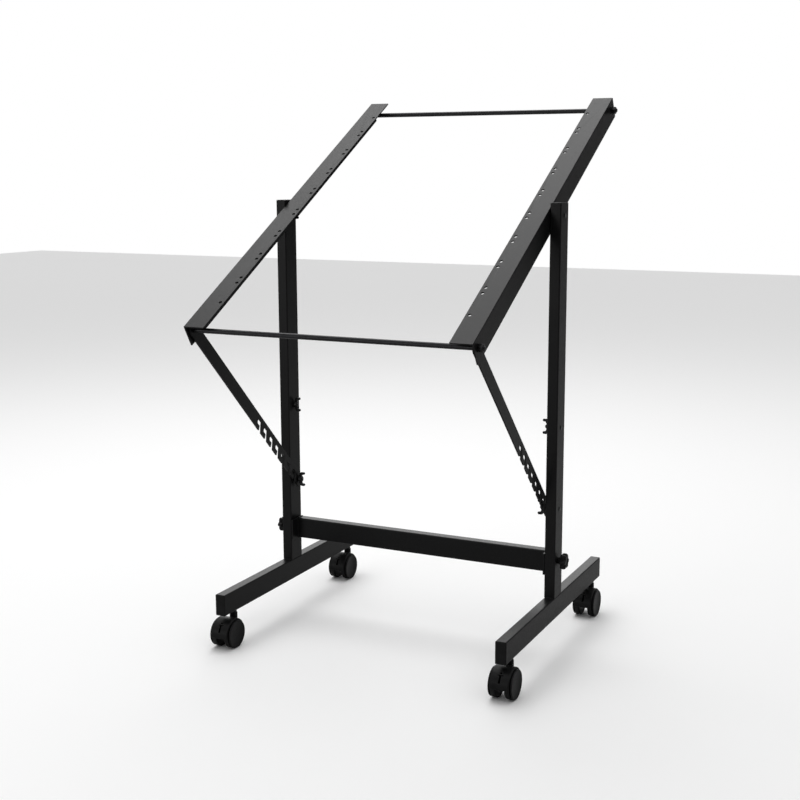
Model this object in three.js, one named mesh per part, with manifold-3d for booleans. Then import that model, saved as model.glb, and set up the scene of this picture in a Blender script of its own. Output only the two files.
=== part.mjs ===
// Rolling stand with a tilting pair of 19-inch rack rails.
//
// Millimetres, +Z up. The floor is z = 0 and the origin is midway between the two
// uprights. +X runs to the right-hand upright and -Y to the low, front end of the rails.
// Each half of the frame is built at +X, and the left half is its mirror image.

import * as THREE from "three";
import { mergeVertices } from "three/addons/utils/BufferGeometryUtils.js";
import Module from "manifold-3d";

const wasm = await Module();
wasm.setup();

// ---------------------------------------------------------------- driving dimensions

const GAP = 0.3; // between two pieces that touch on the real stand
const FULL_TURN = 2 * Math.PI;

const tube = { thin: 20, wide: 40, wall: 1.5, cornerRadius: 2 };
const cap = { head: 1.2, plug: 10 };

const foot = { length: 515, bottom: 65 };
const upright = { innerX: 266.15, top: 816.4 };
const crossbar = { bottom: 147.4, frontY: 0, plateThickness: 3 };

const rail = {
  length: 800,
  innerX: 225.45,
  leg: 40,
  thickness: 2.5,
  bendRadius: 1,
  tilt: THREE.MathUtils.degToRad(30),
};
const rack = {
  columnX: 465.1 / 2,
  holeRadius: 3.3,
  pitch: 75.6,
  pairSpacing: 16.2,
  firstPair: 65,
  pairs: 10,
};

const tieRod = { radius: 4.5, endRadius: 4, drop: 19, inset: 16 };
const nut = { acrossFlats: 13, height: 8, threadProud: 2.5 };

const bolt = { radius: 3, headRadius: 4.2, headHeight: 0.8 };
const boltZ = { pivot: 794, upper: 418.5, lower: 268.5 };
const strut = { thickness: 3, width: 24, tail: 17, play: 1 };
const notch = { count: 8, pitch: 28.4, radius: 4.2, finger: 10.8, mouth: 9, rampEnd: 21.5 };

const wingNut = { hubRadius: 5.6, hubHeight: 7, span: 28, reach: 14, wingThickness: 3 };
const knob = {
  radius: 15,
  lobes: 6,
  lobeDepth: 5,
  neckRadius: 6,
  neckLength: 5,
  thickness: 11,
  studRadius: 3,
  rise: 4.5, // of its axis above the crossbar's middle
};

const caster = {
  frontY: -215,
  rearY: 229,
  trail: 21,
  wheelRadius: 26,
  innerFace: 8,
  outerFace: 21.5,
  webHalf: 6,
  stemRadius: 6,
  barrelRadius: 7.2,
  barrelGap: 5.5,
};

// Hood angles are in degrees up from the front; its web is cut higher in front of the axle boss.
const hood = {
  fenderStart: -6,
  fenderEnd: 150,
  bossBottom: -6.5,
  frontBottom: -3,
  bossFrontY: -9,
};
const hoodSlots = [
  { half: 1.5, from: 17, to: 46 },
  { half: 5, from: 43, to: 46 },
  { half: 1.4, from: 50, to: 56 },
];

// ---------------------------------------------------------------- worked-out places

const uprightOuterX = upright.innerX + tube.thin;
const uprightMidX = upright.innerX + tube.thin / 2;
const footTop = foot.bottom + tube.wide;
const railOuterX = rail.innerX + rail.leg;
const flangeInnerX = railOuterX - rail.thickness;
const strutOuterX = flangeInnerX - strut.play;
const strutInnerX = strutOuterX - strut.thickness;
const crossbarZ = crossbar.bottom + tube.wide / 2;
const knobZ = crossbarZ + knob.rise;
const plateOuterX = upright.innerX - GAP;
const plateInnerX = plateOuterX - crossbar.plateThickness;

// Places on the tilting frame, seen from the pivot: y along the rails and z square to them.
const plateTop = rail.leg / 2;
const rodZ = plateTop - tieRod.drop;
const upperRodY = rail.length / 2 - tieRod.inset;
const lowerRodY = -upperRodY;

// The strut hangs from the lower tie rod, and its last notch rests on the lower bolt.
const strutPivot = new THREE.Vector2(lowerRodY, rodZ)
  .rotateAround(new THREE.Vector2(), rail.tilt)
  .add(new THREE.Vector2(0, boltZ.pivot));
const toLowerBolt = new THREE.Vector2(0, boltZ.lower).sub(strutPivot);
const strutAngle = Math.atan2(toLowerBolt.y, toLowerBolt.x);
const lastNotch = toLowerBolt.length() + notch.radius - bolt.radius - GAP;

// ---------------------------------------------------------------- materials

const finish = (color, roughness, metalness) =>
  new THREE.MeshStandardMaterial({ color, roughness, metalness });

const powderCoat = finish(0x1d1e20, 0.55, 0.2);
const blackPlastic = finish(0x161618, 0.5, 0);
const wheelPlastic = finish(0x242529, 0.45, 0);
const blackSteel = finish(0x2b2c2f, 0.38, 0.85);

// ---------------------------------------------------------------- solid modelling

function toManifold(geometry) {
  const bare = geometry.clone();
  bare.deleteAttribute("normal");
  bare.deleteAttribute("uv");
  const merged = mergeVertices(bare, 1e-4);
  return new wasm.Manifold(
    new wasm.Mesh({
      numProp: 3,
      vertProperties: merged.attributes.position.array,
      triVerts: new Uint32Array(merged.index.array),
    }),
  );
}

function toGeometry(solid) {
  const mesh = solid.getMesh();
  const geometry = new THREE.BufferGeometry();
  geometry.setAttribute("position", new THREE.BufferAttribute(mesh.vertProperties, 3));
  geometry.setIndex(new THREE.BufferAttribute(mesh.triVerts, 1));
  const faceted = geometry.toNonIndexed();
  faceted.computeVertexNormals();
  return faceted;
}

function join(...geometries) {
  return toGeometry(geometries.map(toManifold).reduce((a, b) => a.add(b)));
}

function cut(geometry, ...tools) {
  return toGeometry(tools.map(toManifold).reduce((a, b) => a.subtract(b), toManifold(geometry)));
}

function box([x0, x1], [y0, y1], [z0, z1]) {
  return new THREE.BoxGeometry(x1 - x0, y1 - y0, z1 - z0).translate(
    (x0 + x1) / 2,
    (y0 + y1) / 2,
    (z0 + z1) / 2,
  );
}

/** A round bar along X, from x0 to x1. */
function barX(radius, x0, x1, y = 0, z = 0, sides = 16) {
  return new THREE.CylinderGeometry(radius, radius, x1 - x0, sides)
    .rotateZ(Math.PI / 2)
    .translate((x0 + x1) / 2, y, z);
}

/** A round bar along Z, from z0 to z1. */
function barZ(radius, z0, z1, x = 0, y = 0, sides = 16) {
  return new THREE.CylinderGeometry(radius, radius, z1 - z0, sides)
    .rotateX(Math.PI / 2)
    .translate(x, y, (z0 + z1) / 2);
}

/** A shape drawn in (y, z) and extruded along X, from x0 to x1. */
function plateX(shape, x0, x1, curveSegments = 6) {
  return new THREE.ExtrudeGeometry(shape, { depth: x1 - x0, bevelEnabled: false, curveSegments })
    .applyMatrix4(new THREE.Matrix4().set(0, 0, 1, x0, 1, 0, 0, 0, 0, 1, 0, 0, 0, 0, 0, 1));
}

function roundedRectangle(halfWidth, halfHeight, radius) {
  const w = halfWidth - radius;
  const h = halfHeight - radius;
  const shape = new THREE.Shape();
  shape.absarc(w, h, radius, 0, Math.PI / 2);
  shape.absarc(-w, h, radius, Math.PI / 2, Math.PI);
  shape.absarc(-w, -h, radius, Math.PI, 1.5 * Math.PI);
  shape.absarc(w, -h, radius, 1.5 * Math.PI, FULL_TURN);
  shape.closePath();
  return shape;
}

/** Hollow rectangular tube along Z, open at both ends, thin along X and wide along Y. */
function hollowTube(length) {
  const { thin, wide, wall, cornerRadius } = tube;
  const section = roundedRectangle(thin / 2, wide / 2, cornerRadius);
  section.holes.push(roundedRectangle(thin / 2 - wall, wide / 2 - wall, cornerRadius - wall));
  return new THREE.ExtrudeGeometry(section, { depth: length, bevelEnabled: false, curveSegments: 2 });
}

/** Moulded plug for a tube end: its head closes the tube at z = 0 and its plug goes in below. */
function tubeCap() {
  const { thin, wide, wall, cornerRadius } = tube;
  const head = new THREE.ExtrudeGeometry(roundedRectangle(thin / 2, wide / 2, cornerRadius), {
    depth: cap.head,
    bevelEnabled: false,
    curveSegments: 3,
  }).translate(0, 0, -cap.head);
  const inset = wall + GAP;
  const plug = box(
    [inset - thin / 2, thin / 2 - inset],
    [inset - wide / 2, wide / 2 - inset],
    [-cap.head - cap.plug, -cap.head / 2],
  );
  return join(head, plug);
}

function mesh(name, geometry, material) {
  const made = new THREE.Mesh(geometry, material);
  made.name = name;
  return made;
}

// ---------------------------------------------------------------- base frame

function footParts(side) {
  const tubeLength = foot.length - 2 * (cap.head + GAP);
  const stemHoles = [caster.frontY, caster.rearY].map((y) =>
    barZ(caster.stemRadius, -tube.thin, 0, 0, y),
  );
  const laidTube = hollowTube(tubeLength)
    .translate(0, 0, -tubeLength / 2)
    .rotateX(Math.PI / 2);
  const bored = cut(laidTube, ...stemHoles.map((hole) => hole.translate(0, 0, -tube.thin / 2)));
  const frontCap = tubeCap().rotateX(Math.PI / 2).translate(0, -foot.length / 2, 0);
  const rearCap = tubeCap().rotateX(-Math.PI / 2).translate(0, foot.length / 2, 0);
  const parts = [
    mesh(`foot_tube_${side}`, bored, powderCoat),
    mesh(`foot_cap_front_${side}`, frontCap, blackPlastic),
    mesh(`foot_cap_rear_${side}`, rearCap, blackPlastic),
  ];
  for (const part of parts) part.position.set(uprightMidX, 0, foot.bottom + tube.wide / 2);
  return parts;
}

function uprightParts(side) {
  const bottom = footTop + GAP;
  const length = upright.top - cap.head - GAP - bottom;
  const reach = [-tube.thin, tube.thin];
  const holes = [
    ...Object.values(boltZ).map((z) => barX(bolt.radius + GAP, ...reach, 0, z - bottom)),
    barX(knob.studRadius + GAP, ...reach, 0, knobZ - bottom),
  ];
  const column = mesh(`upright_tube_${side}`, cut(hollowTube(length), ...holes), powderCoat);
  column.position.set(uprightMidX, 0, bottom);
  const topCap = mesh(`upright_cap_${side}`, tubeCap(), blackPlastic);
  topCap.position.set(uprightMidX, 0, upright.top);
  return [column, topCap];
}

function crossbarTube() {
  const length = 2 * (plateInnerX - GAP);
  const geometry = hollowTube(length)
    .translate(0, 0, -length / 2)
    .rotateY(Math.PI / 2)
    .rotateX(Math.PI / 2);
  const bar = mesh("crossbar_tube", geometry, powderCoat);
  bar.position.set(0, crossbar.frontY + tube.thin / 2, crossbarZ);
  return bar;
}

/** Plate on each end of the crossbar, as wide as the upright, that takes the star knob's stud. */
function crossbarPlate(side) {
  const shape = roundedRectangle(tube.wide / 2 - GAP, tube.wide / 2, tube.cornerRadius);
  const hole = new THREE.Path().absarc(0, knob.rise, knob.studRadius + GAP, 0, FULL_TURN);
  shape.holes.push(hole);
  const plate = mesh(`crossbar_plate_${side}`, plateX(shape, plateInnerX, plateOuterX), powderCoat);
  plate.position.z = crossbarZ;
  return plate;
}

/** Star knob: a lobed head with a domed rim, a round neck, and a stud into the crossbar plate. */
function starKnob(side) {
  const { radius, lobes, lobeDepth, neckRadius, neckLength, thickness, studRadius } = knob;
  const start = uprightOuterX + GAP;
  const faceX = start + neckLength;
  const outline = (scale) => {
    const points = [];
    const steps = lobes * 6;
    for (let i = 0; i < steps; i++) {
      const angle = (i / steps) * FULL_TURN;
      const r = scale * (radius - (lobeDepth * (1 - Math.cos(lobes * angle))) / 2);
      points.push(new THREE.Vector2(r * Math.cos(angle), r * Math.sin(angle)));
    }
    return new THREE.Shape(points);
  };
  const head = join(
    plateX(outline(0.93), faceX, faceX + thickness),
    plateX(outline(1), faceX + 2, faceX + thickness - 2),
    barX(neckRadius, start, faceX + 1),
    barX(studRadius, plateInnerX + GAP, start + 1),
  );
  const made = mesh(`star_knob_${side}`, head, blackPlastic);
  made.position.z = knobZ;
  return made;
}

/** Bolt with a thin head on the upright's outer face, and the wing nut on its inner end. */
function boltAndWingNut(side, place, nutBaseX) {
  const tip = nutBaseX - wingNut.hubHeight - 2;
  const headBase = uprightOuterX + GAP;
  const shank = barX(bolt.radius, tip, headBase + bolt.headHeight / 2);
  const head = barX(bolt.headRadius, headBase, headBase + bolt.headHeight);
  const fixed = mesh(`bolt_${place}_${side}`, join(shank, head), blackSteel);
  const turned = mesh(`wing_nut_${place}_${side}`, wingNutGeometry(), blackSteel);
  fixed.position.z = boltZ[place];
  turned.position.set(nutBaseX, 0, boltZ[place]);
  return [fixed, turned];
}

/** Wing nut with its base at x = 0, its wings up and down, and its tips towards -X. */
function wingNutGeometry() {
  const { hubRadius, hubHeight, span, reach, wingThickness } = wingNut;
  const wing = new THREE.Shape();
  wing.moveTo(hubRadius - 2, 0.8);
  wing.lineTo(hubRadius + 2, 0.8);
  wing.quadraticCurveTo(span / 2, 3, span / 2, reach - 3);
  wing.quadraticCurveTo(span / 2, reach, span / 2 - 3, reach);
  wing.quadraticCurveTo(hubRadius + 1, reach - 2, hubRadius - 2, hubHeight - 0.8);
  wing.closePath();
  const upper = new THREE.ExtrudeGeometry(wing, {
    depth: wingThickness,
    bevelEnabled: false,
    curveSegments: 5,
  }).applyMatrix4(
    new THREE.Matrix4().set(0, -1, 0, 0, 0, 0, -1, wingThickness / 2, 1, 0, 0, 0, 0, 0, 0, 1),
  );
  const lower = upper.clone().rotateX(Math.PI);
  const hub = new THREE.CylinderGeometry(hubRadius - 0.9, hubRadius, hubHeight, 16)
    .rotateZ(Math.PI / 2)
    .translate(-hubHeight / 2, 0, 0);
  return cut(join(hub, upper, lower), barX(bolt.radius + GAP, -hubHeight - 1, 1));
}

/** Spacer on the lower bolt that keeps the strut clear of the upright. */
function boltSpacer(side) {
  const x0 = strutOuterX + GAP;
  const x1 = upright.innerX - GAP;
  const ring = cut(barX(6, x0, x1), barX(bolt.radius + GAP, x0 - 1, x1 + 1));
  const spacer = mesh(`bolt_spacer_${side}`, ring, blackSteel);
  spacer.position.z = boltZ.lower;
  return spacer;
}

// ---------------------------------------------------------------- tilting frame

/** Angle section along Y: the rack plate on top and the flange down its outer edge. */
function railGeometry() {
  const { length, innerX, leg, thickness, bendRadius } = rail;
  const outerX = innerX + leg;
  const bend = outerX - bendRadius;
  const section = new THREE.Shape();
  section.moveTo(innerX, 0);
  section.lineTo(innerX, -thickness);
  section.lineTo(outerX - thickness, -thickness);
  section.lineTo(outerX - thickness, -leg);
  section.lineTo(outerX, -leg);
  section.lineTo(outerX, -bendRadius);
  section.absarc(bend, -bendRadius, bendRadius, 0, Math.PI / 2);
  section.closePath();
  return new THREE.ExtrudeGeometry(section, { depth: length, bevelEnabled: false, curveSegments: 4 })
    .rotateX(Math.PI / 2)
    .translate(0, length / 2, plateTop);
}

/** The rack holes go in pairs, with only the inner hole of the first and the last pair. */
function rackHoles() {
  const holes = [];
  for (let i = 0; i < rack.pairs; i++) {
    const middle = -rail.length / 2 + rack.firstPair + i * rack.pitch;
    const ends = [i > 0 && -1, i < rack.pairs - 1 && 1].filter(Boolean);
    for (const end of ends) {
      const y = middle + (end * rack.pairSpacing) / 2;
      holes.push(barZ(rack.holeRadius, plateTop - 5, plateTop + 1, rack.columnX, y, 20));
    }
  }
  return holes;
}

function rackRail(side) {
  const flangeHole = (radius, y, z) => barX(radius + GAP, flangeInnerX - 1, railOuterX + 1, y, z);
  const bored = cut(
    railGeometry(),
    ...rackHoles(),
    flangeHole(bolt.radius, 0, 0),
    flangeHole(tieRod.endRadius, lowerRodY, rodZ),
    flangeHole(tieRod.endRadius, upperRodY, rodZ),
  );
  return mesh(`rack_rail_${side}`, bored, powderCoat);
}

/** Tie rod along X with a shoulder near each end, where its thread starts. */
function tieRodMesh(name, y, shoulderX) {
  const tip = railOuterX + GAP + nut.height + nut.threadProud;
  const rod = mesh(
    name,
    join(barX(tieRod.endRadius, -tip, tip), barX(tieRod.radius, -shoulderX, shoulderX)),
    blackSteel,
  );
  rod.position.set(0, y, rodZ);
  return rod;
}

/** Chamfered hexagon nut, from x = 0 to x = height. */
function hexNut(boreRadius) {
  const corner = nut.acrossFlats / Math.sqrt(3);
  const hexagon = new THREE.CylinderGeometry(corner, corner, nut.height, 6)
    .rotateZ(Math.PI / 2)
    .translate(nut.height / 2, 0, 0);
  const chamfer = 1;
  const turned = [
    [0, 0],
    [corner - chamfer, 0],
    [corner + 0.05, chamfer],
    [corner + 0.05, nut.height - chamfer],
    [corner - chamfer, nut.height],
    [0, nut.height],
  ].map(([r, h]) => new THREE.Vector2(r, h));
  const envelope = new THREE.LatheGeometry(turned, 18).rotateZ(-Math.PI / 2);
  const solid = toManifold(hexagon).intersect(toManifold(envelope));
  return cut(toGeometry(solid), barX(boreRadius, -1, nut.height + 1));
}

function tieRodNut(side, level, y) {
  const made = mesh(`tie_rod_nut_${level}_${side}`, hexNut(tieRod.endRadius + GAP), blackSteel);
  made.position.set(railOuterX + GAP, y, rodZ);
  return made;
}

// ---------------------------------------------------------------- notched struts

/** One notch, walked down the strut: the hook's outer edge, its slot, and the ramp back out. */
function addNotch(outline, centre, edge) {
  const { radius, finger, mouth } = notch;
  outline.lineTo(centre + finger, edge);
  outline.lineTo(centre + finger - 3.5, -radius);
  outline.lineTo(centre, -radius);
  outline.absarc(centre, 0, radius, 1.5 * Math.PI, 0.5 * Math.PI, true);
  outline.lineTo(centre + mouth, radius);
}

/** Flat strut drawn from its pivot: along it is the shape's x, and its notched edge is -y. */
function strutShape() {
  const half = strut.width / 2;
  const end = lastNotch + strut.tail;
  const outline = new THREE.Shape();
  outline.moveTo(0, -half);
  for (let i = notch.count - 1; i >= 0; i--) {
    const centre = lastNotch - i * notch.pitch;
    addNotch(outline, centre, -half);
    if (i > 0) outline.lineTo(centre + notch.rampEnd, -half);
  }
  outline.lineTo(end, notch.radius);
  outline.absarc(end - 6, half - 6, 6, 0, Math.PI / 2);
  outline.absarc(0, 0, half, Math.PI / 2, 1.5 * Math.PI);
  outline.holes.push(new THREE.Path().absarc(0, 0, tieRod.endRadius + GAP, 0, FULL_TURN));
  return outline;
}

function notchedStrut(side) {
  const made = mesh(`strut_${side}`, plateX(strutShape(), strutInnerX, strutOuterX, 10), powderCoat);
  made.position.set(0, strutPivot.x, strutPivot.y);
  made.rotation.x = strutAngle;
  return made;
}

// ---------------------------------------------------------------- casters

/** Part of a ring in (y, z) about the axle, from angle a0 to a1 measured from -Y upwards. */
function ringSector(r0, r1, a0, a1) {
  const shape = new THREE.Shape();
  shape.absarc(0, 0, r1, Math.PI - a0, Math.PI - a1, true);
  shape.absarc(0, 0, r0, Math.PI - a1, Math.PI - a0);
  shape.closePath();
  return shape;
}

/** Hood: a central web with the stem's barrel behind it, and a fender over both wheels. */
function casterHood() {
  const { wheelRadius, webHalf, outerFace, trail, barrelRadius, barrelGap } = caster;
  const degrees = THREE.MathUtils.degToRad;
  const fenderInner = wheelRadius + 0.8;
  const fenderOuter = wheelRadius + 2.4;
  const fenderHalf = outerFace - 3.5;
  const barrelTop = foot.bottom - wheelRadius - barrelGap;
  const web = new THREE.Shape().absarc(0, 0, fenderInner + 0.5, 0, FULL_TURN);
  const solid = join(
    plateX(web, -webHalf, webHalf, 12),
    plateX(
      ringSector(fenderInner, fenderOuter, degrees(hood.fenderStart), degrees(hood.fenderEnd)),
      -fenderHalf,
      fenderHalf,
      14,
    ),
    barZ(barrelRadius, -4, barrelTop, 0, trail),
  );
  const slots = hoodSlots.map(({ half, from, to }) =>
    plateX(
      ringSector(wheelRadius - 1.5, fenderOuter + 1, degrees(from), degrees(to)),
      -half,
      half,
    ),
  );
  const webSides = [-webHalf - 1, webHalf + 1];
  const reach = fenderOuter + 1;
  return cut(
    solid,
    ...slots,
    box(webSides, [-reach, reach], [-reach, hood.bossBottom]),
    box(webSides, [-reach, hood.bossFrontY], [-reach, hood.frontBottom]),
    barX(2.9, -fenderHalf, fenderHalf),
    barZ(4.3, 2, barrelTop + 1, 0, trail),
  );
}

/** Wheel on the +X side, turned about X: a tread, a flat outer disc and a blind bore. */
function casterWheel() {
  const { wheelRadius: r, innerFace, outerFace } = caster;
  const profile = [
    [0, outerFace - 3.6],
    [2.9, outerFace - 3.6],
    [2.9, innerFace],
    [r - 1.5, innerFace],
    [r, innerFace + 1.5],
    [r, outerFace - 2.2],
    [r - 1, outerFace - 1.2],
    [r - 2.2, outerFace - 1.2],
    [r - 2.6, outerFace],
    [0, outerFace],
  ].map(([radius, x]) => new THREE.Vector2(radius, x));
  return new THREE.LatheGeometry(profile, 24).rotateZ(-Math.PI / 2);
}

/** Stem: fixed in the foot, with the hood turning on its lower end. */
function casterStem() {
  const collarBottom = foot.bottom - caster.barrelGap + GAP;
  const collarTop = foot.bottom - GAP;
  return join(
    barZ(caster.stemRadius, collarBottom, collarTop),
    barZ(caster.stemRadius - GAP - 0.5, collarTop - 1, foot.bottom + 12),
    barZ(4, caster.wheelRadius + 4, collarBottom + 1),
  );
}

function casterParts(corner, x, y) {
  const stem = mesh(`caster_stem_${corner}`, casterStem(), blackSteel);
  stem.position.set(x, y, 0);
  const axleLength = caster.outerFace - 3.6 - GAP;
  const axle = mesh(`caster_axle_${corner}`, barX(2.6, -axleLength, axleLength), blackSteel);
  const cover = mesh(`caster_hood_${corner}`, casterHood(), blackPlastic);
  const right = mesh(`caster_wheel_${corner}_outer`, casterWheel(), wheelPlastic);
  const left = mesh(`caster_wheel_${corner}_inner`, casterWheel(), wheelPlastic);
  left.rotation.z = Math.PI;
  for (const part of [axle, cover, right, left])
    part.position.set(x, y - caster.trail, caster.wheelRadius);
  return [stem, cover, axle, right, left];
}

// ---------------------------------------------------------------- assembly

function half(side) {
  const group = new THREE.Group();
  const tilting = new THREE.Group();
  tilting.position.z = boltZ.pivot;
  tilting.rotation.x = rail.tilt;
  tilting.add(
    rackRail(side),
    tieRodNut(side, "lower", lowerRodY),
    tieRodNut(side, "upper", upperRodY),
  );
  group.add(
    ...footParts(side),
    ...uprightParts(side),
    crossbarPlate(side),
    starKnob(side),
    ...boltAndWingNut(side, "pivot", flangeInnerX - GAP),
    ...boltAndWingNut(side, "upper", upright.innerX - GAP),
    ...boltAndWingNut(side, "lower", strutInnerX - GAP),
    boltSpacer(side),
    notchedStrut(side),
    tilting,
  );
  return group;
}

function tieRods() {
  const group = new THREE.Group();
  group.position.z = boltZ.pivot;
  group.rotation.x = rail.tilt;
  group.add(
    tieRodMesh("tie_rod_lower", lowerRodY, strutInnerX - GAP),
    tieRodMesh("tie_rod_upper", upperRodY, flangeInnerX - GAP),
  );
  return group;
}

const stand = new THREE.Group();
stand.name = "tilting_rack_stand";

const rightHalf = half("right");
const leftHalf = half("left");
leftHalf.scale.x = -1;
stand.add(rightHalf, leftHalf, crossbarTube(), tieRods());

for (const [side, x] of [["left", -uprightMidX], ["right", uprightMidX]])
  for (const [end, y] of [["front", caster.frontY], ["rear", caster.rearY]])
    stand.add(...casterParts(`${end}_${side}`, x, y));

export default stand;
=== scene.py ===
"""Looks for the tilting rack stand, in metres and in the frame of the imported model.

The tubes, plates, rails and struts are the CAD pieces with softened edges and a powder coat.
Turned, moulded and cast pieces, such as nuts, knobs and casters, are built here in detail,
in the places that their CAD nodes give.
"""

import math

import bmesh
import bpy
from mathutils import Matrix, Vector

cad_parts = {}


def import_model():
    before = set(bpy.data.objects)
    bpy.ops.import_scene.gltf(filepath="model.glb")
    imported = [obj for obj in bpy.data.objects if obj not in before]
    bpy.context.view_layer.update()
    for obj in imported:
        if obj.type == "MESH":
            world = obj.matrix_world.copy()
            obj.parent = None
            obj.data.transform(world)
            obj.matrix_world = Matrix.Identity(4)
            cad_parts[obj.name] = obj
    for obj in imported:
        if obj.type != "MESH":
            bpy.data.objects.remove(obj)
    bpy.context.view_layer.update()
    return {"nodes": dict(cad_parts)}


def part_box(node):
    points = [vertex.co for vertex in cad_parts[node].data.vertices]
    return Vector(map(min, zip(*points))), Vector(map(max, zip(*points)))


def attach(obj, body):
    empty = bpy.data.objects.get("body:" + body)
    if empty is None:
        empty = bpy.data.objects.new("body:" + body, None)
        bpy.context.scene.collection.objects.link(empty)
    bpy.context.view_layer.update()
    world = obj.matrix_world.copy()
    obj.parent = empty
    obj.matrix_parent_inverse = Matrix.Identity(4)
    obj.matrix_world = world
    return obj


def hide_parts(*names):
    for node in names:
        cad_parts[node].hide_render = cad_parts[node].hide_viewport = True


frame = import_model()

# ------------------------------------------------------------------ driving dimensions

MM = 0.001
FULL_TURN = 2 * math.pi
SIDES = ("left", "right")
CORNERS = [(end, side) for end in ("front", "rear") for side in SIDES]
BOLT_PLACES = ("pivot", "upper", "lower")

CAMERA = {
    "place": (0.9975, -2.0912, 0.8671),
    "elevation": 9.77,
    "azimuth": 24.96,
    "lens": 56.46,
    "sensor_width": 36,
    "shift": (-0.0349, -0.0140),
    "clip_end": 60,
}

EDGE = 0.5 * MM  # rounding of the tubes' and plates' sharp edges
TUBE_WALL = 1.5 * MM
BOLT_RADIUS = 3 * MM
THREAD_PITCH = 1 * MM
THREAD_DEPTH = 0.35 * MM
WELD_RADIUS = 1.7 * MM
WELD_RIPPLE = 2.4 * MM

NUT_FLATS = 13 * MM
WING_HALF_THICKNESS = 1.5 * MM
WING_TIP_RADIUS = 2.6  # mm

# The knob's head, as (share of its thickness, share of its radius, lobe depth in mm).
KNOB_HEAD = (
    (0.00, 0.50, 0.4), (0.02, 0.80, 3.0), (0.07, 0.92, 4.4), (0.18, 0.98, 5.2),
    (0.35, 1.00, 5.5), (0.60, 1.00, 5.5), (0.78, 0.97, 5.2), (0.90, 0.90, 4.4),
    (0.97, 0.80, 3.2), (1.00, 0.66, 1.4), (1.00, 0.50, 0.0), (0.93, 0.44, 0.0),
    (0.90, 0.36, 0.0), (0.90, 0.05, 0.0),
)
KNOB_LOBES = 6
KNOB_NECK = 5 * MM

DISC_THICKNESS = 2.0 * MM  # the flat disc on each wheel's outer face
WHEEL_GROOVE = 2.1 * MM  # the groove round the rim that sets the disc off from the tread
GROOVE_DEPTH = 4.2  # mm
WHEEL_BORE = 2.9  # mm

# Angles on the caster's hood are in degrees up from its front, about the axle.
FENDER = (-6, 148)
HOOD_SLOTS = (((17, 46), 3.0 * MM), ((43, 46), 10.0 * MM), ((50, 56), 2.8 * MM))
WEB_HALF = 6 * MM
BOSS_DEPTH = 6.5 * MM  # how far the web reaches below the axle
BOSS_FRONT = -9  # mm; in front of this the web is cut higher, so that light shows through
FRONT_BOTTOM = -3  # mm
WEB_CUT_REACH = -40  # mm, well clear of the web

BACKDROP_SIDE = (-0.44, 0.9, 0)  # where the light from behind comes from
BACKDROP = (0.75, 0.98, 2.3)  # how near that side it starts, where it is full, how much
CEILING = (0.25, 0.9, 1.0)  # light from above, by the sine of its height
FLOOR_HALF = 9.0
FLOOR_SEEN = 0.95  # how pale the floor looks to the camera
FLOOR_BOUNCE = 0.45  # share of its light that the floor throws back at the stand


# ------------------------------------------------------------------ mesh building


def ring(x, radius, lobes=0, depth=0.0, segments=72):
    """A ring of points about the X axis, with its radius waving in by depth between lobes."""
    points = []
    for i in range(segments):
        angle = i / segments * FULL_TURN
        r = radius - depth * ((1 - math.cos(lobes * angle)) / 2) ** 1.3
        points.append(Vector((x, r * math.cos(angle), r * math.sin(angle))))
    return points


def hexagon_ring(x, across_flats, chamfer_radius, segments=72):
    """A ring of a hexagon's outline, cut back to the chamfer's radius at its corners."""
    points = []
    for i in range(segments):
        angle = i / segments * FULL_TURN
        from_flat = (angle + math.pi / 6) % (math.pi / 3) - math.pi / 6
        r = min(across_flats / 2 / math.cos(from_flat), chamfer_radius)
        points.append(Vector((x, r * math.cos(angle), r * math.sin(angle))))
    return points


def rectangle_ring(depth, half_x, half_y, radius, corner_steps=8):
    """A rounded rectangle's outline at z = -depth."""
    points = []
    for corner, (sx, sy) in enumerate([(1, 1), (-1, 1), (-1, -1), (1, -1)]):
        for i in range(corner_steps + 1):
            angle = (corner + i / corner_steps) * math.pi / 2
            x = sx * (half_x - radius) + radius * math.cos(angle)
            y = sy * (half_y - radius) + radius * math.sin(angle)
            points.append(Vector((x, y, -depth)))
    return points


def loft(rings, closed=False):
    """A closed solid through rings of points. Its ends are filled unless it closes on itself."""
    solid = bmesh.new()
    made = [[solid.verts.new(p) for p in points] for points in rings]
    pairs = list(zip(made, made[1:]))
    if closed:
        pairs.append((made[-1], made[0]))
    else:
        solid.faces.new(made[0])
        solid.faces.new(made[-1])
    for near, far in pairs:
        for i in range(len(near)):
            j = (i + 1) % len(near)
            solid.faces.new((near[i], near[j], far[j], far[i]))
    bmesh.ops.recalc_face_normals(solid, faces=solid.faces)
    return solid


def turned(profile, closed=False, segments=72):
    """A solid turned about X, from (x, radius) points in mm."""
    rings = [ring(x * MM, radius * MM, segments=segments) for x, radius in profile]
    return loft(rings, closed)


def extruded(outline, x0, x1):
    """A (y, z) outline carried along X."""
    return loft([[Vector((x, y, z)) for y, z in outline] for x in (x0, x1)])


def join(*solids):
    """One bmesh that holds all of these closed shells."""
    whole = bmesh.new()
    for solid in solids:
        part = bpy.data.meshes.new("part")
        solid.to_mesh(part)
        solid.free()
        whole.from_mesh(part)
        bpy.data.meshes.remove(part)
    return whole


def to_mesh(solid, name, sharp_above=32):
    """A smooth-shaded mesh, with edges above this many degrees left sharp."""
    mesh = bpy.data.meshes.new(name)
    solid.to_mesh(mesh)
    solid.free()
    mesh.shade_smooth()
    mesh.set_sharp_from_angle(angle=math.radians(sharp_above))
    return mesh


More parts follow.
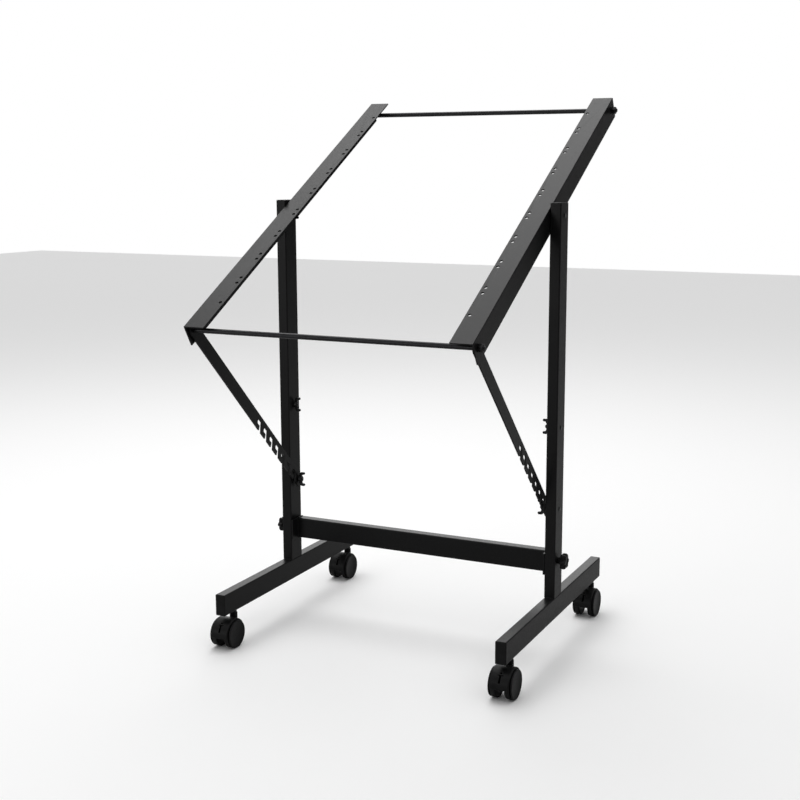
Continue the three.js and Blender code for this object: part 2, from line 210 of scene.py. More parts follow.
def moulded(solid, name, voxel, keep):
    """The shells fused into one skin with softened edges, as cast and moulded pieces have."""
    rough = bpy.data.objects.new(name, to_mesh(solid, name))
    bpy.context.scene.collection.objects.link(rough)
    remesh = rough.modifiers.new("fuse", "REMESH")
    remesh.mode = "VOXEL"
    remesh.voxel_size = voxel
    smooth = rough.modifiers.new("soften", "SMOOTH")
    smooth.factor = 0.5
    smooth.iterations = 3
    thin = rough.modifiers.new("thin", "DECIMATE")
    thin.ratio = keep
    depsgraph = bpy.context.evaluated_depsgraph_get()
    mesh = bpy.data.meshes.new_from_object(rough.evaluated_get(depsgraph))
    bpy.data.objects.remove(rough)
    mesh.name = name
    mesh.shade_smooth()
    return mesh


def place(name, mesh, body, material, slot, matrix, *nodes):
    """A piece made from mesh, put where matrix says, that stands for these CAD nodes."""
    piece = bpy.data.objects.new(name, mesh)
    bpy.context.scene.collection.objects.link(piece)
    if not mesh.materials:
        mesh.materials.append(material)
    piece.matrix_world = matrix
    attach(piece, body)
    if nodes:
        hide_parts(*nodes)
    return piece


def middle(node):
    low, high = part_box(node)
    return (low + high) / 2


def outward(side):
    """Turns a piece made for the right-hand side to face outwards on its own side."""
    return Matrix.Rotation(math.pi if side == "left" else 0, 4, "Z")


def at(point):
    return Matrix.Translation(point)


# ------------------------------------------------------------------ materials


def new_material(name):
    material = bpy.data.materials.new(name)
    material.use_nodes = True
    nodes = material.node_tree.nodes
    shader = nodes["Principled BSDF"]
    coordinates = nodes.new("ShaderNodeTexCoord")
    return material, shader, coordinates.outputs["Object"]


def noise(material, vector, size, detail=2.0, roughness=0.5):
    """A noise field with features of about this size, in metres."""
    node = material.node_tree.nodes.new("ShaderNodeTexNoise")
    node.inputs["Scale"].default_value = 1 / size
    node.inputs["Detail"].default_value = detail
    node.inputs["Roughness"].default_value = roughness
    material.node_tree.links.new(vector, node.inputs["Vector"])
    return node.outputs["Fac"]


def spread(material, value, low, high, out_low, out_high):
    """The field value, from low to high, as a number from out_low to out_high."""
    node = material.node_tree.nodes.new("ShaderNodeMapRange")
    settings = (low, high, out_low, out_high)
    for name, number in zip(("From Min", "From Max", "To Min", "To Max"), settings):
        node.inputs[name].default_value = number
    material.node_tree.links.new(value, node.inputs["Value"])
    return node.outputs["Result"]


def blend_colour(material, share, first, second):
    """Mixes two colours. A Mix node's colour sockets are its inputs 6 and 7 and its output 2."""
    node = material.node_tree.nodes.new("ShaderNodeMix")
    node.data_type = "RGBA"
    links = material.node_tree.links
    links.new(share, node.inputs["Factor"])
    for socket, colour in ((node.inputs[6], first), (node.inputs[7], second)):
        if isinstance(colour, bpy.types.NodeSocket):
            links.new(colour, socket)
        else:
            socket.default_value = (*colour, 1)
    return node.outputs[2]


def arithmetic(material, operation, first, second):
    node = material.node_tree.nodes.new("ShaderNodeMath")
    node.operation = operation
    for socket, value in zip(node.inputs, (first, second)):
        if isinstance(value, bpy.types.NodeSocket):
            material.node_tree.links.new(value, socket)
        else:
            socket.default_value = value
    return node.outputs["Value"]


def bump(material, shader, *layers):
    """Bump from (height field, relief in metres) layers, one on another."""
    links = material.node_tree.links
    below = None
    for height, relief in layers:
        node = material.node_tree.nodes.new("ShaderNodeBump")
        node.inputs["Distance"].default_value = relief
        links.new(height, node.inputs["Height"])
        if below:
            links.new(below, node.inputs["Normal"])
        below = node.outputs["Normal"]
    links.new(below, shader.inputs["Normal"])


def edge_share(material, radius):
    """About 1 on the outer edges and 0 on flat faces, from how far a rounded normal turns."""
    nodes = material.node_tree.nodes
    links = material.node_tree.links
    rounded = nodes.new("ShaderNodeBevel")
    rounded.inputs["Radius"].default_value = radius
    rounded.samples = 4
    geometry = nodes.new("ShaderNodeNewGeometry")
    dot = nodes.new("ShaderNodeVectorMath")
    dot.operation = "DOT_PRODUCT"
    links.new(rounded.outputs["Normal"], dot.inputs[0])
    links.new(geometry.outputs["Normal"], dot.inputs[1])
    return spread(material, dot.outputs["Value"], 0.995, 0.85, 0, 1)


def powder_coat():
    """Charcoal powder coat: orange peel under a fine sanded texture, with lighter edges that are
    partly coat rubbed thin and partly a painted highlight.
    """
    material, shader, place_in_frame = new_material("powder_coat")
    links = material.node_tree.links
    cloud = noise(material, place_in_frame, 90 * MM, detail=3)
    mottle = noise(material, place_in_frame, 3.2 * MM, detail=3, roughness=0.6)
    grain = noise(material, place_in_frame, 0.8 * MM, detail=2)
    peel = noise(material, place_in_frame, 2.2 * MM, detail=1)
    shade = arithmetic(material, "ADD", spread(material, mottle, 0.3, 0.7, 0, 0.7),
                       spread(material, cloud, 0.35, 0.65, 0, 0.3))
    coat = blend_colour(material, shade, (0.005, 0.005, 0.0052), (0.0105, 0.0105, 0.0108))
    # The edges are lighter from here on, partly as coat rubbed thin and partly as a painted
    # highlight along the edges.
    lighter_edges = arithmetic(material, "MULTIPLY", edge_share(material, 0.8 * MM),
                        spread(material, mottle, 0.42, 0.62, 0.15, 0.6))
    worn_and_highlit_coat = blend_colour(material, lighter_edges, coat, (0.035, 0.035, 0.036))
    links.new(worn_and_highlit_coat, shader.inputs["Base Color"])
    links.new(spread(material, mottle, 0.3, 0.7, 0.30, 0.42), shader.inputs["Roughness"])
    shader.inputs["IOR"].default_value = 1.25
    bump(material, shader, (peel, 0.04 * MM), (grain, 0.02 * MM))
    return material


def black_plastic():
    """Moulded black plastic with a fine spark-eroded grain and faint flow marks."""
    material, shader, place_in_frame = new_material("black_plastic")
    links = material.node_tree.links
    flow = noise(material, place_in_frame, 14 * MM, detail=3)
    grain = noise(material, place_in_frame, 0.45 * MM, detail=2)
    body = blend_colour(material, spread(material, flow, 0.35, 0.65, 0, 1),
                        (0.0045, 0.0045, 0.0047), (0.0085, 0.0085, 0.0087))
    lighter_edges = arithmetic(material, "MULTIPLY", edge_share(material, 0.6 * MM),
                        spread(material, flow, 0.4, 0.6, 0.1, 0.4))
    links.new(blend_colour(material, lighter_edges, body, (0.03, 0.03, 0.031)),
              shader.inputs["Base Color"])
    links.new(spread(material, flow, 0.3, 0.7, 0.36, 0.48), shader.inputs["Roughness"])
    shader.inputs["IOR"].default_value = 1.25
    bump(material, shader, (grain, 0.04 * MM))
    return material


def wheel_plastic():
    """Dark nylon: a satin skin, dulled and scuffed in patches all over."""
    material, shader, place_in_frame = new_material("wheel_plastic")
    links = material.node_tree.links
    flow = noise(material, place_in_frame, 12 * MM, detail=3)
    scuff = noise(material, place_in_frame, 1.6 * MM, detail=4, roughness=0.7)
    grain = noise(material, place_in_frame, 0.5 * MM, detail=2)
    nylon = blend_colour(material, spread(material, flow, 0.35, 0.65, 0, 1),
                         (0.0075, 0.0075, 0.0079), (0.012, 0.012, 0.0124))
    dusty = spread(material, scuff, 0.56, 0.72, 0, 0.5)
    links.new(blend_colour(material, dusty, nylon, (0.020, 0.0198, 0.0195)),
              shader.inputs["Base Color"])
    links.new(spread(material, scuff, 0.3, 0.75, 0.38, 0.58), shader.inputs["Roughness"])
    shader.inputs["IOR"].default_value = 1.25
    bump(material, shader, (flow, 0.08 * MM), (grain, 0.03 * MM))
    return material


def black_steel():
    """Steel blackened with oxide: a thin dark film, brighter where tools and threads rub it."""
    material, shader, place_in_frame = new_material("black_steel")
    links = material.node_tree.links
    film = noise(material, place_in_frame, 5 * MM, detail=4, roughness=0.6)
    grain = noise(material, place_in_frame, 0.35 * MM, detail=2)
    oxide = blend_colour(material, spread(material, film, 0.35, 0.65, 0, 1),
                         (0.016, 0.016, 0.017), (0.030, 0.030, 0.032))
    lighter_edges = arithmetic(material, "MULTIPLY", edge_share(material, 0.4 * MM),
                        spread(material, film, 0.4, 0.6, 0.2, 0.7))
    links.new(blend_colour(material, lighter_edges, oxide, (0.12, 0.12, 0.123)),
              shader.inputs["Base Color"])
    links.new(spread(material, film, 0.3, 0.7, 0.26, 0.42), shader.inputs["Roughness"])
    shader.inputs["Metallic"].default_value = 0.75
    bump(material, shader, (grain, 0.02 * MM))
    return material


COAT = powder_coat()
PLASTIC = black_plastic()
NYLON = wheel_plastic()
STEEL = black_steel()


# ------------------------------------------------------------------ CAD pieces that stay


def soften(node):
    """Rounds a CAD piece's sharp edges, and gives it the powder coat."""
    piece = frame["nodes"][node]
    weld = piece.modifiers.new("weld", "WELD")
    weld.merge_threshold = 0.01 * MM
    bevel = piece.modifiers.new("edges", "BEVEL")
    bevel.width = EDGE
    bevel.segments = 2
    bevel.angle_limit = math.radians(40)
    bevel.harden_normals = True
    piece.data.materials.clear()
    piece.data.materials.append(COAT)


COATED = ("foot_tube", "upright_tube", "crossbar_tube", "crossbar_plate", "rack_rail", "strut")
for node in sorted(frame["nodes"]):
    if node.startswith(COATED):
        soften(node)


# ------------------------------------------------------------------ tube caps


def cap_mesh():
    """Tube cap with a rounded, faintly crowned head, and its plug behind. It faces +Z."""
    low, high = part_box("upright_cap_right")
    half_x, half_y = (high.x - low.x) / 2, (high.y - low.y) / 2
    depth_and_inset = [(0, 3.2), (0.06, 1.6), (0.2, 0.6), (0.45, 0.12), (0.8, 0), (1.2, 0)]
    rings = [
        rectangle_ring(depth * MM, half_x - inset * MM, half_y - inset * MM, 2 * MM)
        for depth, inset in depth_and_inset
    ]
    plug = TUBE_WALL + 0.3 * MM
    for depth in (1.2 * MM, high.z - low.z):
        rings.append(rectangle_ring(depth, half_x - plug, half_y - plug, 1 * MM))
    return to_mesh(loft(rings), "tube_cap")


def tube_caps():
    mesh = cap_mesh()
    for side in SIDES:
        node = f"upright_cap_{side}"
        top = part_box(node)[1].z
        centre = middle(node)
        matrix = at((centre.x, centre.y, top))
        place(f"{node}_moulded", mesh, "base_frame", PLASTIC, "black_plastic", matrix, node)
        for end, towards in (("front", -1), ("rear", 1)):
            node = f"foot_cap_{end}_{side}"
            low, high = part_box(node)
            centre = middle(node)
            outer = low.y if towards < 0 else high.y
            turn = Matrix.Rotation(-towards * math.pi / 2, 4, "X")
            matrix = at((centre.x, outer, centre.z)) @ turn
            place(f"{node}_moulded", mesh, "base_frame", PLASTIC, "black_plastic", matrix, node)


# ------------------------------------------------------------------ welds


def weld_bead(start, end):
    """A rippled weld bead along a straight corner, from start to end."""
    along = end - start
    steps = max(12, round(along.length / (WELD_RIPPLE / 6)))
    turn = along.to_track_quat("X", "Z")
    rings = []
    for i in range(steps + 1):
        share = i / steps
        ripple = 0.86 + 0.14 * abs(math.sin(math.pi * share * along.length / WELD_RIPPLE))
        taper = min(1, 0.45 + 6 * min(share, 1 - share))
        points = ring(0, WELD_RADIUS * ripple * taper, segments=16)
        rings.append([start + along * share + turn @ p for p in points])
    return loft(rings)


def foot_welds(side):
    """The upright is welded to the foot across its front and rear faces."""
    low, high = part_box(f"upright_tube_{side}")
    inset = 2 * MM
    beads = [
        weld_bead(Vector((low.x + inset, y, low.z)), Vector((high.x - inset, y, low.z)))
        for y in (low.y, high.y)
    ]
    mesh = to_mesh(join(*beads), f"foot_weld_{side}", sharp_above=80)
    place(f"foot_weld_{side}", mesh, "base_frame", COAT, "powder_coat", Matrix.Identity(4))


def crossbar_welds(side):
    """The crossbar is welded to its end plate all round."""
    low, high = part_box("crossbar_tube")
    x = low.x if side == "left" else high.x
    ys = (low.y, high.y - 0.5 * MM)
    zs = (low.z, high.z)
    beads = []
    for z in zs:
        beads.append(weld_bead(Vector((x, ys[0] + MM, z)), Vector((x, ys[1] - MM, z))))
    for y in ys:
        beads.append(weld_bead(Vector((x, y, zs[0] + MM)), Vector((x, y, zs[1] - MM))))
    mesh = to_mesh(join(*beads), f"crossbar_weld_{side}", sharp_above=80)
    place(f"crossbar_weld_{side}", mesh, "base_frame", COAT, "powder_coat", Matrix.Identity(4))


# ------------------------------------------------------------------ bolts, nuts and rods


def thread(x0, x1, radius):
    """Profile points, in mm, of a thread from x0 to x1."""
    points = []
    turns = max(1, round(abs(x1 - x0) * MM / THREAD_PITCH))
    step = (x1 - x0) / turns
    for i in range(turns):
        points.append((x0 + i * step, radius - THREAD_DEPTH / MM))
        points.append((x0 + (i + 0.5) * step, radius))
    points.append((x1, radius - THREAD_DEPTH / MM))
    return points


def bolt_mesh(node):
    """Bolt with its head at x = 0, facing +X: a low domed head, a shank and a threaded end."""
    low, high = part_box(node)
    length = (high.x - low.x) / MM
    head = (high.z - low.z) / MM / 2
    radius = BOLT_RADIUS / MM
    profile = [(0, 0.8), (-0.05, head * 0.55), (-0.22, head * 0.88), (-0.5, head), (-0.8, head)]
    thread_start = -length + 16
    profile += [(-0.8, radius), (thread_start, radius)]
    profile += thread(thread_start, -length + 0.6, radius)
    profile += [(-length, radius - 0.8)]
    return to_mesh(turned(profile, segments=40), node)


def wing_outline(base, root, half_span, reach, steps=10):
    """One wing of a wing nut, as (distance from the axis, height) points."""
    lower = [(root, base), (root + 3.0, base + 0.1)]
    swell = [(half_span * 0.93, reach * 0.30), (half_span, reach * 0.52)]
    tip = []
    round_off = WING_TIP_RADIUS
    for i in range(steps + 1):
        angle = math.radians(-20) + i / steps * math.radians(200)
        out = half_span - round_off + round_off * math.cos(angle)
        up = reach - round_off + round_off * math.sin(angle)
        tip.append((out, up))
    inner = [(half_span - 5.2, reach * 0.62), (root + 1.5, reach * 0.5), (root - 1, reach * 0.46)]
    return lower + swell + tip + inner


def wing_nut_mesh():
    """Cast wing nut with its base at x = 0 and its wings up and down, leaning towards -X."""
    low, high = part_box("wing_nut_upper_right")
    half_span = (high.z - low.z) / 2 / MM
    reach = (high.x - low.x) / MM
    hub = turned(
        [(0, 3.3), (0, 5.2), (-0.5, 5.6), (-2, 5.6), (-6.4, 4.7), (-7, 4.2), (-7, 3.3)],
        closed=True,
    )
    outline = wing_outline(0.9, 3.9, half_span, reach)
    wings = []
    for flip in (1, -1):
        sections = []
        for y in (-WING_HALF_THICKNESS, WING_HALF_THICKNESS):
            points = [Vector((-h * MM, y * flip, flip * d * MM)) for d, h in outline]
            sections.append(points)
        wings.append(loft(sections))
    return moulded(join(hub, *wings), "wing_nut", voxel=0.3 * MM, keep=0.35)


def bolts_and_wing_nuts():
    nut = wing_nut_mesh()
    for side in SIDES:
        for where in BOLT_PLACES:
            node = f"bolt_{where}_{side}"
            low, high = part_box(node)
            centre = middle(node)
            head_x = low.x if side == "left" else high.x
            matrix = at((head_x, centre.y, centre.z)) @ outward(side)
            mesh = bolt_mesh(node)
            place(f"{node}_turned", mesh, "base_frame", STEEL, "black_steel", matrix, node)
            node = f"wing_nut_{where}_{side}"
            low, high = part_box(node)
            centre = middle(node)
            base_x = low.x if side == "left" else high.x
            matrix = at((base_x, centre.y, centre.z)) @ outward(side)
            place(f"{node}_cast", nut, node, STEEL, "black_steel", matrix, node)


def spacers():
    for side in SIDES:
        node = f"bolt_spacer_{side}"
        low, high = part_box(node)
        half = (high.x - low.x) / 2 / MM
        outer = (high.z - low.z) / 2 / MM
        bore = BOLT_RADIUS / MM + 0.3
        profile = [(-half, bore + 0.3), (-half, outer - 0.4), (-half + 0.4, outer)]
        profile += [(half - 0.4, outer), (half, outer - 0.4), (half, bore + 0.3)]
        profile += [(half - 0.3, bore), (-half + 0.3, bore)]
        mesh = to_mesh(turned(profile, closed=True), node)
        matrix = at(middle(node))
        place(f"{node}_turned", mesh, "base_frame", STEEL, "black_steel", matrix, node)


def hex_nut_mesh():
    """Hexagon nut along X, about the origin, with turned chamfers and a plain, chamfered bore."""
    low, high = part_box("tie_rod_nut_upper_right")
    half = (high.x - low.x) / 2
    flats = NUT_FLATS
    corner = flats / math.sqrt(3)
    bore = 4.3 * MM
    rings = [ring(-half, bore + 0.5 * MM), ring(-half, flats / 2 * 0.94)]
    for step in range(6):
        share = step / 5
        x = -half + share * 1.3 * MM
        rings.append(hexagon_ring(x, flats, flats / 2 * 0.98 + share * (corner - flats / 2)))
    for step in range(6):
        share = 1 - step / 5
        x = half - share * 1.3 * MM
        rings.append(hexagon_ring(x, flats, flats / 2 * 0.98 + share * (corner - flats / 2)))
    rings += [ring(half, flats / 2 * 0.94), ring(half, bore + 0.5 * MM)]
    rings += [ring(half - 0.5 * MM, bore), ring(-half + 0.5 * MM, bore)]
    return to_mesh(loft(rings, closed=True), "hex_nut", sharp_above=25)


def tie_rod_mesh(node):
    """Rod with a shoulder near each end, where its narrower threaded end starts."""
    low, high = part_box(node)
    half = (high.x - low.x) / 2 / MM
    radius = (high.z - low.z) / 2 / MM
    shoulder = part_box("strut_right")[0].x / MM - 0.6
    thread_radius = radius - 0.5
    one_side = [(shoulder - 0.4, radius), (shoulder, radius - 0.4), (shoulder, thread_radius)]
    one_side += thread(shoulder + 1, half - 0.8, thread_radius)
    one_side += [(half, thread_radius - 0.9)]
    profile = [(-x, r) for x, r in reversed(one_side)] + one_side
    return to_mesh(turned(profile, segments=48), node)


def rods_and_nuts():
    nut = hex_nut_mesh()
    for level in ("lower", "upper"):
        node = f"tie_rod_{level}"
        matrix = at(middle(node))
        mesh = tie_rod_mesh(node)
        place(f"{node}_turned", mesh, "tilt_frame", STEEL, "black_steel", matrix, node)
        for side in SIDES:
            node = f"tie_rod_nut_{level}_{side}"
            matrix = at(middle(node)) @ Matrix.Rotation(math.radians(20), 4, "X")
            place(f"{node}_chamfered", nut, "tilt_frame", STEEL, "black_steel", matrix, node)


# ------------------------------------------------------------------ star knobs


def knob_mesh():
    """Six-lobed knob whose neck starts at x = 0, with a dished face and a stud behind it."""
    low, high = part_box("star_knob_right")
    radius = (high.y - low.y) / 2
    face = high.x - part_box("upright_tube_right")[1].x
    stud = low.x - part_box("upright_tube_right")[1].x
    neck = KNOB_NECK
    rings = [
        ring(stud, 2.4 * MM),
        ring(stud + 0.6 * MM, 3 * MM),
        ring(0.3 * MM, 3 * MM),
        ring(0.3 * MM, 5.4 * MM),
        ring(0.8 * MM, 6 * MM),
        ring(neck - 0.8 * MM, 6 * MM),
    ]
    head = face - neck
    for along, size, depth in KNOB_HEAD:
        x = neck + along * head
        rings.append(ring(x, size * radius, lobes=KNOB_LOBES, depth=depth * MM))
    return to_mesh(loft(rings), "star_knob", sharp_above=50)


def star_knobs():
    mesh = knob_mesh()
    for side in SIDES:
        node = f"star_knob_{side}"
        centre = middle(node)
        low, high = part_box(f"upright_tube_{side}")
        neck_x = low.x if side == "left" else high.x
        matrix = at((neck_x, centre.y, centre.z)) @ outward(side)
        place(f"{node}_moulded", mesh, node, PLASTIC, "black_plastic", matrix, node)


# ------------------------------------------------------------------ casters


def wheel_mesh():
    """Wheel on the +X side of its axle: a tread, a rim groove, and a flat disc outside it."""
    low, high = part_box("caster_wheel_front_right_outer")
    radius = (high.z - low.z) / 2 / MM
    axle_x = middle("caster_stem_front_right").x
    inner = (low.x - axle_x) / MM
    outer = (high.x - axle_x) / MM
    disc = outer - DISC_THICKNESS / MM
    tread = disc - WHEEL_GROOVE / MM
    groove_floor = radius - GROOVE_DEPTH
    profile = [
        (outer - 3.6, 0.3), (outer - 3.6, WHEEL_BORE), (inner + 0.5, WHEEL_BORE), (inner, 3.4),
        (inner, 8), (inner + 1.2, 9), (inner + 1.2, radius - 4), (inner, radius - 3),
        (inner, radius - 1.6), (inner + 0.4, radius - 0.6), (inner + 1.4, radius - 0.08),
        (inner + 4, radius), (tread - 0.8, radius), (tread - 0.2, radius - 0.25),
        (tread, radius - 0.8), (tread, groove_floor), (disc, groove_floor),
        (disc, radius - 0.8), (disc + 0.25, radius - 0.45), (outer - 0.7, radius - 0.45),
        (outer - 0.2, radius - 0.75), (outer, radius - 1.5), (outer, radius - 3.2),
        (outer - 0.2, radius - 3.6), (outer - 0.25, 0.3),
    ]
    return to_mesh(turned(profile, segments=112), "caster_wheel")


def fender(radius_in, radius_out, half, start, stop, steps=44):
    """Curved hood over both wheels about X, with its edges turned down at the sides."""
    rings = []
    for i in range(steps + 1):
        angle = math.radians(start + (stop - start) * i / steps)
        lip = 1.6 * MM
        section = [
            (-half + 0.5 * MM, radius_out - 0.5 * MM), (-half + 2 * MM, radius_out),
            (half - 2 * MM, radius_out), (half - 0.5 * MM, radius_out - 0.5 * MM),
            (half, radius_out - lip), (half - 1.2 * MM, radius_in),
            (-half + 1.2 * MM, radius_in), (-half, radius_out - lip),
        ]
        rings.append(
            [Vector((x, -r * math.cos(angle), r * math.sin(angle))) for x, r in section]
        )
    return loft(rings)


def carve(solid, *tools):
    """Cuts the tools out of the solid, and gives back one bmesh."""
    objects = []
    for part in (solid, join(*tools)):
        made = bpy.data.objects.new("carve", to_mesh(part, "carve"))
        bpy.context.scene.collection.objects.link(made)
        objects.append(made)
    target, cutter = objects
    difference = target.modifiers.new("cut", "BOOLEAN")
    difference.operation = "DIFFERENCE"
    difference.solver = "EXACT"
    difference.use_self = True
    difference.object = cutter
    depsgraph = bpy.context.evaluated_depsgraph_get()
    result = bmesh.new()
    result.from_mesh(bpy.data.meshes.new_from_object(target.evaluated_get(depsgraph)))
    for made in objects:
        bpy.data.objects.remove(made)
    return result


def disc_outline(radius, below, steps=48):
    """A disc's (y, z) outline, cut off flat below."""
    reach = math.asin(below / radius)
    start = -reach
    span = math.pi + 2 * reach
    return [
        (radius * math.cos(start + i / steps * span), radius * math.sin(start + i / steps * span))
        for i in range(steps + 1)
    ]


def slot_tool(radius_in, radius_out, angles, half):
    """A block that cuts a slot in the fender, between two angles up from the front."""
    first, last = (math.radians(angle) for angle in angles)
    steps = 12
    inside, outside = [], []
    for i in range(steps + 1):
        angle = first + (last - first) * i / steps
        inside.append((-radius_in * math.cos(angle), radius_in * math.sin(angle)))
        outside.append((-radius_out * math.cos(angle), radius_out * math.sin(angle)))
    return extruded(inside + outside[::-1], -half, half)


def hood_mesh():
    """Caster hood about its axle: web, fender, swivel barrel, and the slots down its front."""
    stem = middle("caster_stem_front_right")
    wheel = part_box("caster_wheel_front_right_outer")
    axle = middle("caster_axle_front_right")
    hood_low, hood_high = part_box("caster_hood_front_right")
    radius = (wheel[1].z - wheel[0].z) / 2
    half = (hood_high.x - hood_low.x) / 2
    outer = axle.y - hood_low.y + 0.7 * MM
    barrel_y = stem.y - axle.y
    top = hood_high.z - axle.z
    web = extruded(disc_outline(radius + 1.2 * MM, BOSS_DEPTH), -WEB_HALF, WEB_HALF)
    shell = fender(radius + 0.8 * MM, outer, half, *FENDER)
    barrel = turned([(-4, 6), (-3.2, 7), (top / MM - 1, 7.2), (top / MM, 6.3)])
    barrel.transform(at((0, barrel_y, 0)) @ Matrix.Rotation(-math.pi / 2, 4, "Y"))
    tools = [
        slot_tool(radius - 7 * MM, outer + MM, angles, width / 2)
        for angles, width in HOOD_SLOTS
    ]
    front_cut = [
        (WEB_CUT_REACH, WEB_CUT_REACH), (BOSS_FRONT, WEB_CUT_REACH),
        (BOSS_FRONT, FRONT_BOTTOM), (WEB_CUT_REACH, FRONT_BOTTOM),
    ]
    tools.append(extruded([(y * MM, z * MM) for y, z in front_cut], -7 * MM, 7 * MM))
    bore = turned([(2, 4.4), (top / MM + 2, 4.4)])
    bore.transform(at((0, barrel_y, 0)) @ Matrix.Rotation(-math.pi / 2, 4, "Y"))
    axle_bore = turned([(-20, WHEEL_BORE), (20, WHEEL_BORE)])
    fused = moulded(join(web, shell, barrel), "caster_hood", voxel=0.5 * MM, keep=1.0)
    blank = bmesh.new()
    blank.from_mesh(fused)
    bpy.data.meshes.remove(fused)
    carved = carve(blank, *tools, bore, axle_bore)
    return moulded(carved, "caster_hood", voxel=0.4 * MM, keep=0.3)


def stem_mesh():
    """Stem along Z: a grooved collar under the foot, and the pin that the hood turns on."""
    low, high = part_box("caster_stem_front_right")
    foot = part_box("foot_tube_right")[0].z
    top = (high.z - foot) / MM
    pin = (low.z - foot) / MM
    profile = [
        (top, 4.6), (top - 0.6, 5.1), (-0.3, 5.1), (-0.3, 5.6), (-0.8, 6), (-2.2, 6),
        (-2.6, 5.4), (-3.2, 5.4), (-3.6, 6), (-4.7, 6), (-5.1, 5.4), (-5.1, 4), (pin + 0.6, 4),
        (pin, 3.4),
    ]
    solid = turned(profile)
    solid.transform(Matrix.Rotation(-math.pi / 2, 4, "Y"))
    return to_mesh(solid, "caster_stem")


def axle_mesh():
    """Axle along X, about the origin, with chamfered ends."""
    low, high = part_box("caster_axle_front_right")
    half = (high.x - low.x) / 2 / MM
    radius = (high.z - low.z) / 2 / MM
    profile = [(-half, radius - 0.4), (-half + 0.4, radius), (half - 0.4, radius)]
    return to_mesh(turned(profile + [(half, radius - 0.4)], segments=32), "caster_axle")


def casters():
    wheel, hood, stem, axle = wheel_mesh(), hood_mesh(), stem_mesh(), axle_mesh()
    foot_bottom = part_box("foot_tube_right")[0].z
    for end, side in CORNERS:
        corner = f"{end}_{side}"
        node = f"caster_stem_{corner}"
        centre = middle(node)
        matrix = at((centre.x, centre.y, foot_bottom))
        place(f"{node}_turned", stem, "base_frame", STEEL, "black_steel", matrix, node)
        axle_centre = middle(f"caster_axle_{corner}")
        body = f"caster_{corner}"
        for node, mesh, material, slot in (
            (f"caster_hood_{corner}", hood, PLASTIC, "black_plastic"),
            (f"caster_axle_{corner}", axle, STEEL, "black_steel"),
        ):
            place(f"{node}_detailed", mesh, body, material, slot, at(axle_centre), node)
        for which, turn in (("outer", 0), ("inner", math.pi)):
            node = f"caster_wheel_{corner}_{which}"
            matrix = at(axle_centre) @ Matrix.Rotation(turn, 4, "Z")
            body = f"wheel_{corner}_{which}"
            place(f"{node}_moulded", wheel, body, NYLON, "wheel_plastic", matrix, node)


tube_caps()
for side in SIDES:
    foot_welds(side)
    crossbar_welds(side)
bolts_and_wing_nuts()
spacers()
rods_and_nuts()
star_knobs()
casters()


# ------------------------------------------------------------------ studio


def floor():
    """Pale floor, paler to the camera than in the light that it throws back at the stand."""
    mesh = bpy.data.meshes.new("floor")
    half = FLOOR_HALF
    corners = [(-half, -half, 0), (half, -half, 0), (half, half, 0), (-half, half, 0)]
    mesh.from_pydata(corners, [], [(0, 1, 2, 3)])
    material = bpy.data.materials.new("pale_floor")
    material.use_nodes = True
    nodes, links = material.node_tree.nodes, material.node_tree.links
    shader = nodes["Principled BSDF"]
    shader.inputs["Roughness"].default_value = 0.9
    shader.inputs["Specular IOR Level"].default_value = 0.1
    path = nodes.new("ShaderNodeLightPath")
    tone = nodes.new("ShaderNodeMix")
    tone.data_type = "RGBA"
    links.new(path.outputs["Is Camera Ray"], tone.inputs["Factor"])
    tone.inputs[6].default_value = (FLOOR_BOUNCE, FLOOR_BOUNCE, FLOOR_BOUNCE, 1)
    tone.inputs[7].default_value = (FLOOR_SEEN, FLOOR_SEEN, FLOOR_SEEN, 1)
    links.new(tone.outputs[2], shader.inputs["Base Color"])
    mesh.materials.append(material)
    made = bpy.data.objects.new("floor", mesh)
    bpy.context.scene.collection.objects.link(made)


def soft_box(name, place_at, target, size, power):
    """A rectangular light of this size in metres and power in watts, facing its target."""
    light = bpy.data.lights.new(name, "AREA")
    light.shape = "RECTANGLE"
    light.size, light.size_y = size
    light.energy = power
    made = bpy.data.objects.new(name, light)
    bpy.context.scene.collection.objects.link(made)
    made.location = place_at
    made.rotation_euler = (Vector(target) - Vector(place_at)).to_track_quat("-Z", "Y").to_euler()


def ramp(nodes, links, value, low, high, top):
    """0 where the value is low or less, rising smoothly to top where it is high or more."""
    node = nodes.new("ShaderNodeMapRange")
    node.interpolation_type = "SMOOTHSTEP"
    for name, number in (("From Min", low), ("From Max", high), ("To Max", top)):
        node.inputs[name].default_value = number
    links.new(value, node.inputs["Value"])
    return node.outputs["Result"]


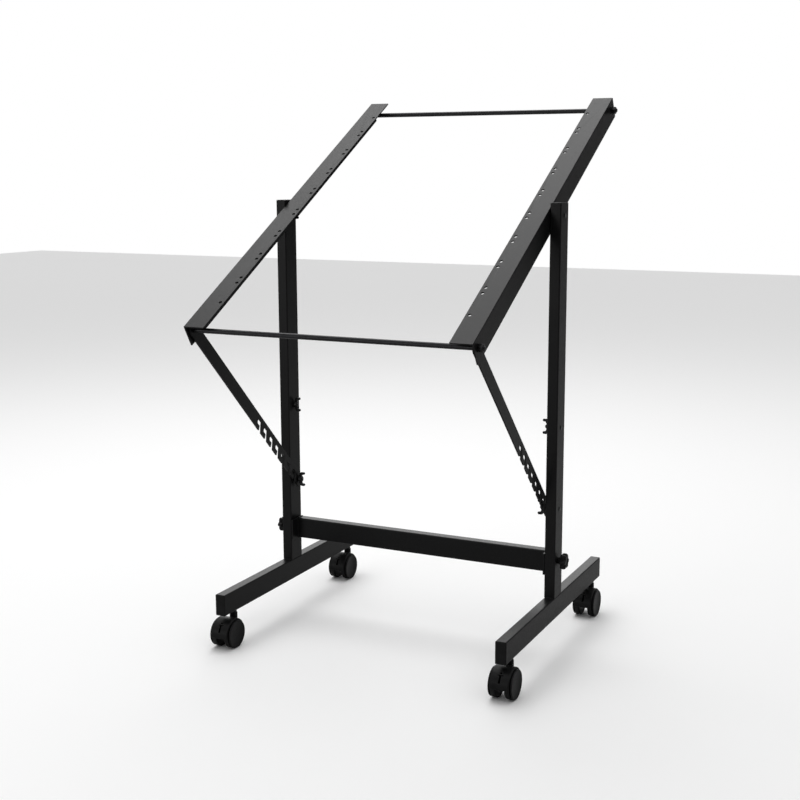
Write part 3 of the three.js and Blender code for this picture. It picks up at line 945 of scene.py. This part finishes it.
def world():
    """A studio with a white backdrop behind, a bright ceiling, and dim in front and beside."""
    made = bpy.data.worlds.new("studio")
    bpy.context.scene.world = made
    made.use_nodes = True
    nodes, links = made.node_tree.nodes, made.node_tree.links
    nodes.clear()
    direction = nodes.new("ShaderNodeTexCoord").outputs["Generated"]
    parts = nodes.new("ShaderNodeSeparateXYZ")
    links.new(direction, parts.inputs["Vector"])
    behind = nodes.new("ShaderNodeVectorMath")
    behind.operation = "DOT_PRODUCT"
    behind.inputs[1].default_value = BACKDROP_SIDE
    links.new(direction, behind.inputs[0])
    backdrop = ramp(nodes, links, behind.outputs["Value"], *BACKDROP)
    ceiling = ramp(nodes, links, parts.outputs["Z"], *CEILING)
    strength = nodes.new("ShaderNodeMath")
    strength.operation = "ADD"
    links.new(backdrop, strength.inputs[0])
    links.new(ceiling, strength.inputs[1])
    lit = nodes.new("ShaderNodeBackground")
    lit.inputs["Color"].default_value = (1, 1, 1, 1)
    links.new(strength.outputs["Value"], lit.inputs["Strength"])
    seen = nodes.new("ShaderNodeBackground")
    seen.inputs["Color"].default_value = (1, 1, 1, 1)
    path = nodes.new("ShaderNodeLightPath")
    mix = nodes.new("ShaderNodeMixShader")
    links.new(path.outputs["Is Camera Ray"], mix.inputs["Fac"])
    links.new(lit.outputs["Background"], mix.inputs[1])
    links.new(seen.outputs["Background"], mix.inputs[2])
    output = nodes.new("ShaderNodeOutputWorld")
    links.new(mix.outputs["Shader"], output.inputs["Surface"])


def camera():
    data = bpy.data.cameras.new("camera")
    data.lens = CAMERA["lens"]
    data.sensor_width = CAMERA["sensor_width"]
    data.shift_x, data.shift_y = CAMERA["shift"]
    data.clip_end = CAMERA["clip_end"]
    made = bpy.data.objects.new("camera", data)
    bpy.context.scene.collection.objects.link(made)
    made.location = CAMERA["place"]
    tilt = math.radians(90 - CAMERA["elevation"])
    made.rotation_euler = (tilt, 0, math.radians(CAMERA["azimuth"]))
    bpy.context.scene.camera = made


floor()
world()
soft_box("overhead", (-0.9, 1.0, 3.0), (0, 0, 0.6), (2.4, 2.0), 39)
soft_box("fill", (-1.6, -3.2, 0.85), (0, 0, 0.5), (2.2, 1.0), 16)
camera()
bpy.context.scene.view_settings.view_transform = "Standard"
